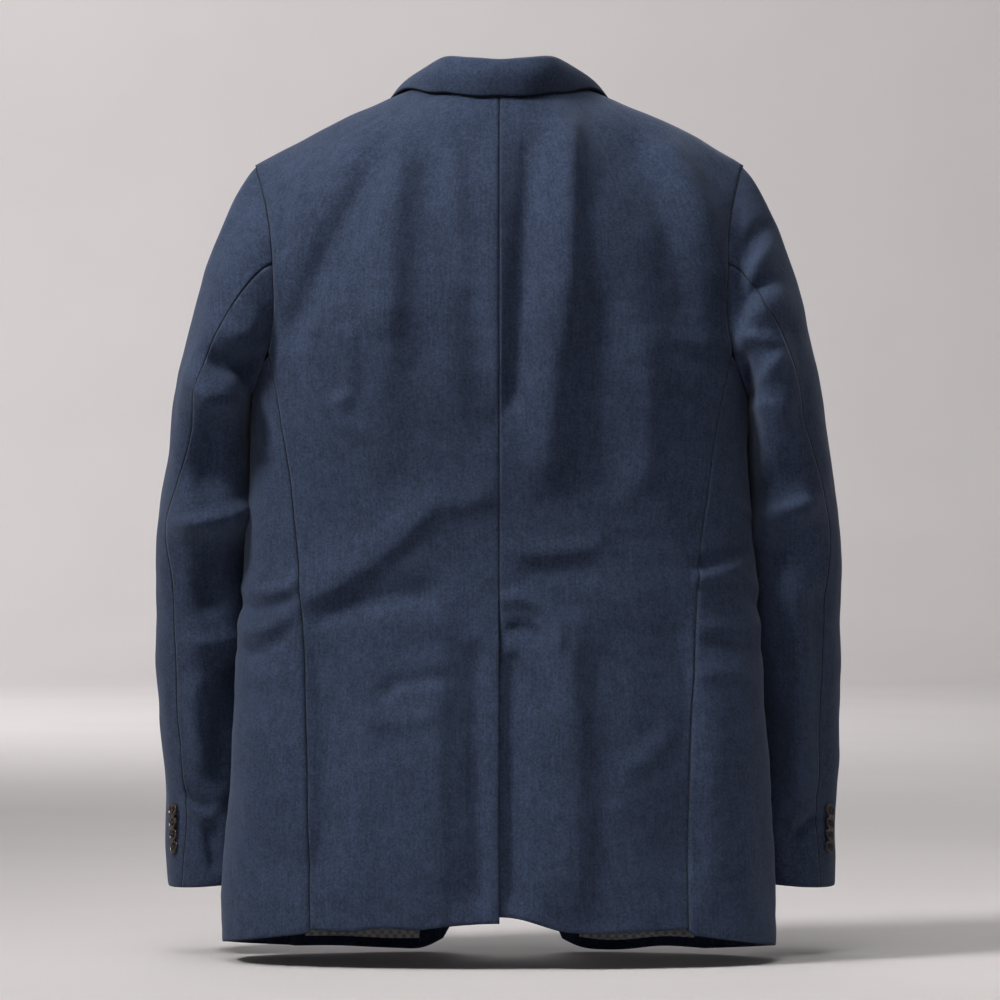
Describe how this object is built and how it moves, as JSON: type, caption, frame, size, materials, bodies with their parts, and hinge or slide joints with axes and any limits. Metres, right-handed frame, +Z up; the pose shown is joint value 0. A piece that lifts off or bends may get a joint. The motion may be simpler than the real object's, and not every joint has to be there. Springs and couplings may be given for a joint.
{
  "type": "corduroy blazer",
  "caption": "Single-breasted blazer filled out as worn, open at neck, hem, cuffs and armholes, with notch lapels, two-piece sleeves and a centre back vent.",
  "frame": {"origin": "midway between the neck points, at the height where the shoulders of the wearer carry the blazer", "axes": "+X towards the wearer's left, +Y towards the wearer's back, +Z up"},
  "size_m": [0.6173, 0.2572, 0.8037],
  "materials": {
    "cloth": "navy fine-wale cotton corduroy, matt with a soft nap",
    "lining": "pale grey woven lining with a small plain repeat",
    "button": "dark horn-coloured button, satin"
  },
  "bodies": {
    "root": {"back_left": "cloth", "back_right": "cloth", "side_left": "cloth", "side_right": "cloth", "front_left": "cloth", "front_right": "cloth", "lapel_left": "cloth", "lapel_right": "cloth", "collar": "cloth", "upper_sleeve_left": "cloth", "upper_sleeve_right": "cloth", "under_sleeve_left": "cloth", "under_sleeve_right": "cloth", "lining_front_left": "lining", "lining_front_right": "lining", "cuff_button_left_1": "button", "cuff_button_left_2": "button", "cuff_button_left_3": "button", "cuff_button_left_4": "button", "cuff_button_right_1": "button", "cuff_button_right_2": "button", "cuff_button_right_3": "button", "cuff_button_right_4": "button", "front_button_1": "button", "front_button_2": "button"}
  },
  "joints": []
}
